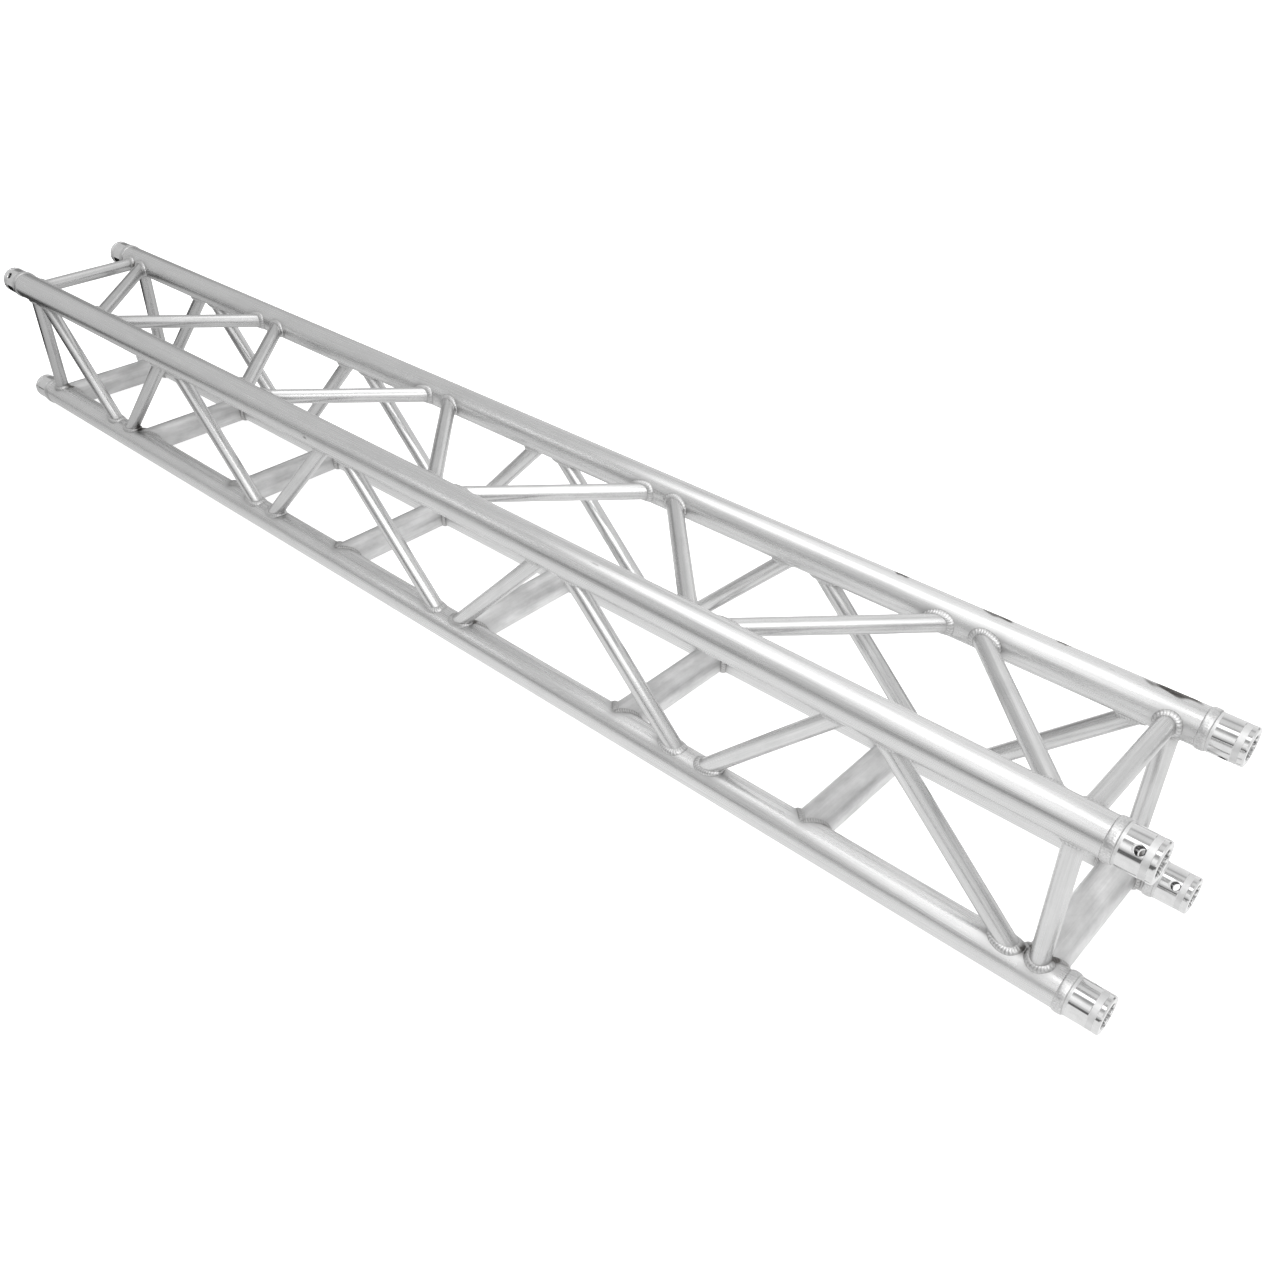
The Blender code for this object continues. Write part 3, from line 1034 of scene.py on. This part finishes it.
def floor_level(graph, x, y):
    """Brightest under the near end, fading to the left and to the camera's side, with the dark
    edge of the sheet across the far left."""
    near = graph.span(x, *FLOOR_ACROSS_FROM)
    across = graph.math("MULTIPLY", graph.math("SUBTRACT", 1.0, ramp(graph, y, FLOOR_ACROSS)), near)
    level = ramp(graph, x, FLOOR_ALONG)
    level = graph.math("MULTIPLY", level, graph.math("SUBTRACT", 1.0, across))
    edge = ramp(graph, y, [(place, -at) for place, at, _ in FLOOR_EDGE], MOST_LEVEL)
    half = ramp(graph, y, [(place, wide) for place, _, wide in FLOOR_EDGE])
    off = graph.math("ABSOLUTE", graph.math("ADD", x, edge))
    inside = graph.math("DIVIDE", off, half)
    shown = graph.fade(inside, *FLOOR_EDGE_SOFT, FLOOR_EDGE_LEVEL, 1.0)
    return graph.math("MULTIPLY", level, shown)


def ceiling_level(graph, x, y):
    """What is overhead, from the far end to the right, each part taking over along X."""
    level = graph.grey(CEILING_FAR)
    for low, high, stops in CEILING_PARTS:
        part = ramp(graph, y, stops, MOST_LEVEL)
        level = graph.mix(graph.fade(x, low, high), level, part)
    low, high, beyond = CEILING_BEYOND
    past = graph.fade(x, low, high)
    level = graph.mix(past, level, graph.grey(beyond))
    box_x, box_y, half_x, half_y, radiance = FAR_BOX
    inside = []
    for place, middle, half in ((x, box_x, half_x), (y, box_y, half_y)):
        off = graph.math("ABSOLUTE", graph.math("SUBTRACT", place, middle))
        low, high = half - FAR_BOX_EDGE, half + FAR_BOX_EDGE
        inside.append(graph.fade(off, low, high, 1.0, 0.0))
    return graph.mix(graph.math("MULTIPLY", *inside), level, graph.grey(radiance))


# Studio

FLOOR_HALF = 60.0
FLOOR_CARD_LIFT = 0.0005
FLOOR_GLOW = 0.78
CEILING = 3.15
CEILING_CARD_LIFT = 0.05
CEILING_CORNERS = (-8.0, -9.0, 8.0, 8.0)
MOST_LEVEL = 4.0
# Softboxes in the ceiling: (middle x, middle y, size in x, size in y, radiance)
SOFTBOXES = (
    (-0.93, -0.12, 1.33, 0.85, 4.2),
    (0.95, -0.60, 2.10, 0.90, 4.6),
    (0.90, -3.60, 2.40, 1.50, 2.2),
)
# What the metal mirrors of the floor, as (place along X, radiance)
FLOOR_ALONG = ((-2.0, 0.62), (-1.5, 0.56), (-0.72, 0.77), (0.0, 0.92), (0.5, 0.99), (2.0, 0.97))
# and how that fades towards the camera's side, as (place along Y, share), and the span of X
# over which the fade sets in
FLOOR_ACROSS = ((-3.6, 0.16), (-2.3, 0.34), (-1.4, 0.90), (-0.9, 1.0))
FLOOR_ACROSS_FROM = (-2.6, -1.4)
# The dark edge of the sheet: (place along Y, its place along X, its half width), how much light
# it keeps, and where that ends and full light begins, as shares of the half width
FLOOR_EDGE_LEVEL = 0.02
FLOOR_EDGE_SOFT = (0.8, 1.25)
FLOOR_EDGE = (
    (-2.60, -3.20, 0.60),
    (-2.10, -2.72, 0.45),
    (-1.50, -2.19, 0.34),
    (-1.20, -1.96, 0.28),
    (-1.00, -1.84, 0.24),
    (-0.70, -1.62, 0.24),
    (-0.50, -1.60, 0.26),
    (-0.40, -1.66, 0.26),
    (-0.25, -1.80, 0.26),
)
# What the metal mirrors of the ceiling over the near end, as (place along Y, radiance)
CEILING_NEAR = (
    (-9.0, 0.75),
    (-7.0, 1.00),
    (-4.7, 1.25),
    (-3.3, 1.35),
    (-2.5, 1.48),
    (-1.72, 1.20),
    (-1.17, 1.30),
    (-0.75, 1.80),
    (-0.35, 2.60),
    (-0.05, 2.50),
    (0.25, 1.70),
    (0.60, 1.24),
    (1.05, 1.08),
    (1.83, 0.97),
    (3.0, 0.94),
    (8.0, 0.84),
)
# over the middle
CEILING_MIDDLE = (
    (-9.0, 0.56),
    (-3.3, 0.63),
    (-2.46, 0.60),
    (-1.72, 0.76),
    (-1.20, 1.00),
    (-0.85, 1.50),
    (-0.45, 2.30),
    (-0.05, 2.50),
    (0.25, 1.85),
    (0.60, 1.30),
    (1.05, 1.18),
    (1.83, 1.14),
    (3.0, 1.08),
    (8.0, 0.92),
)
# past the near end, where the receivers mirror it crisply
CEILING_END = (
    (-9.0, 0.45),
    (-5.5, 0.75),
    (-4.7, 0.90),
    (-3.9, 1.15),
    (-3.3, 1.05),
    (-2.8, 0.75),
    (-2.4, 0.58),
    (-2.0, 0.40),
    (-1.65, 0.45),
    (-1.35, 0.85),
    (-1.15, 2.20),
    (-0.95, 3.00),
    (-0.65, 3.00),
    (-0.45, 1.20),
    (-0.30, 0.55),
    (-0.10, 0.52),
    (0.10, 0.68),
    (0.40, 0.82),
    (1.30, 0.82),
    (1.70, 0.64),
    (2.10, 0.46),
    (2.60, 0.64),
    (3.30, 0.80),
    (8.0, 0.80),
)
# and to the right of it
CEILING_RIGHT = (
    (-9.0, 0.80),
    (-5.0, 0.90),
    (-4.3, 2.20),
    (-3.5, 2.60),
    (-1.2, 2.60),
    (-0.7, 1.60),
    (0.3, 1.30),
    (1.0, 0.90),
    (8.0, 0.80),
)
# over the far end
CEILING_FAR = 0.68
# Each of those and the span of X over which it takes over from the one before it
CEILING_PARTS = (
    (-2.1, -1.35, CEILING_MIDDLE),
    (-1.1, -0.2, CEILING_NEAR),
    (0.40, 0.58, CEILING_END),
    (1.15, 1.45, CEILING_RIGHT),
)
# The radiance of the rest of it, past a span of X
CEILING_BEYOND = (3.4, 4.4, 0.8)
# A lone softbox beyond the far end: (middle x, middle y, half size in x, half size in y,
# radiance), and how soft its edge is
FAR_BOX = (-3.80, -3.20, 0.60, 0.24, 3.0)
FAR_BOX_EDGE = 0.1
# The room's walls, by direction: their own tone, that of the back wall along X, the dark front
# wall low down, and the right wall's dark and light patches
ROOM_TONE = 0.66
BACK_FROM = (-0.05, 0.35)
FRONT_FROM = (-0.45, -0.80)
FRONT_BELOW = (0.14, 0.26)
FRONT_TONE = 0.15
RIGHT_FROM = (0.12, 0.30)
RIGHT_TONES = (0.16, 1.0)
RIGHT_PATCH_SCALE = 3.2
RIGHT_PATCH_SPAN = (0.50, 0.56)
BACK_ALONG = (
    (-0.95, 0.24),
    (-0.87, 0.29),
    (-0.79, 0.56),
    (-0.66, 0.88),
    (-0.50, 1.04),
    (-0.25, 0.98),
    (0.10, 0.90),
)

LENS = 34.149
SENSOR = 36.0
CLIP_START = 0.01
CLIP_END = 200.0
CAMERA_FROM_MIDDLE = Vector((1.43772, -1.10513, 1.00190))
# The camera's turns about X, Y and Z, in degrees
CAMERA_TURNS = (54.440, -0.291, 42.404)


def plane_mesh(name, low_x, low_y, high_x, high_y, z):
    mesh = bpy.data.meshes.new(name)
    corners = [(low_x, low_y, z), (high_x, low_y, z), (high_x, high_y, z), (low_x, high_y, z)]
    mesh.from_pydata(corners, [], [(0, 1, 2, 3)])
    return mesh


def add_stage(name, mesh, material):
    mesh.materials.append(material)
    obj = bpy.data.objects.new(name, mesh)
    bpy.context.scene.collection.objects.link(obj)
    return obj


def add_floor():
    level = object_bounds()[0].z
    half = FLOOR_HALF
    mesh = plane_mesh("floor", -half, -half, half, half, level)
    add_stage("floor", mesh, floor_material())
    add_card("floor_card", (-half, -half, half, half), level + FLOOR_CARD_LIFT, floor_level)


def add_card(name, corners, z, level_of):
    """A card that shows only in mirrored light."""
    card = add_stage(name, plane_mesh(name, *corners, z), card_material(name, level_of))
    card.visible_camera = False
    card.visible_diffuse = False
    card.visible_shadow = False
    card.visible_transmission = False


def add_softboxes():
    for number, (x, y, size_x, size_y, radiance) in enumerate(SOFTBOXES):
        light = bpy.data.lights.new(f"softbox_{number + 1}", "AREA")
        light.shape = "RECTANGLE"
        light.size, light.size_y = size_x, size_y
        light.energy = radiance * math.pi * size_x * size_y
        obj = bpy.data.objects.new(light.name, light)
        obj.location = (x, y, CEILING)
        obj.visible_camera = False
        obj.visible_glossy = False
        bpy.context.scene.collection.objects.link(obj)
    add_card("ceiling_card", CEILING_CORNERS, CEILING + CEILING_CARD_LIFT, ceiling_level)


def set_world():
    """A pale room, darker low down on the camera's side and at the far left."""
    world = bpy.data.worlds.new("studio")
    bpy.context.scene.world = world
    world.use_nodes = True
    graph = Graph(world.node_tree)
    background = world.node_tree.nodes["Background"]
    toward = graph.add("TexCoord", output=0)
    split = world.node_tree.nodes.new("ShaderNodeSeparateXYZ")
    graph.feed(split.inputs[0], toward)
    x, y, z = split.outputs
    back = graph.fade(y, *BACK_FROM)
    level = graph.mix(back, graph.grey(ROOM_TONE), ramp(graph, x, BACK_ALONG))
    front = graph.fade(y, *FRONT_FROM)
    low = graph.fade(z, *FRONT_BELOW, 1.0, 0.0)
    level = graph.mix(graph.math("MULTIPLY", front, low), level, graph.grey(FRONT_TONE))
    patches = graph.noise(toward, RIGHT_PATCH_SCALE, 1.0, 0.5)
    patches = graph.grey(graph.fade(patches, *RIGHT_PATCH_SPAN, *RIGHT_TONES))
    right = graph.fade(x, *RIGHT_FROM)
    level = graph.mix(right, level, patches)
    seen = graph.add("LightPath", output=0)
    pale = graph.mix(seen, level, WHITE)
    graph.feed(background.inputs["Color"], pale)


def add_camera():
    camera = bpy.data.cameras.new("camera")
    camera.sensor_width = SENSOR
    camera.lens = LENS
    camera.clip_start = CLIP_START
    camera.clip_end = CLIP_END
    obj = bpy.data.objects.new("camera", camera)
    turn = Euler([math.radians(angle) for angle in CAMERA_TURNS]).to_matrix().to_4x4()
    middle = (cad_low + cad_high) / 2
    obj.matrix_world = Matrix.Translation(middle + CAMERA_FROM_MIDDLE) @ turn
    bpy.context.scene.collection.objects.link(obj)
    bpy.context.scene.camera = obj


def set_view():
    view = bpy.context.scene.view_settings
    view.view_transform = "Standard"
    view.look = "None"


all_braces = brace_ends()
feet = all_feet(all_braces)
chord_metal = tube_metal("chord_aluminium", *CHORD_FINISH)
brace_metal = tube_metal("brace_aluminium", *BRACE_FINISH)
rung_metal = tube_metal("rung_aluminium", *RUNG_FINISH)
weld = weld_metal()

outlines = foot_outlines(feet)
add_chords(outlines, chord_metal)
add_braces(all_braces, outlines, brace_metal)
add_rungs(rung_metal)
add_receivers(receiver_metal())
add_welds(all_braces, outlines, weld)

add_camera()
add_floor()
add_softboxes()
set_world()
set_view()
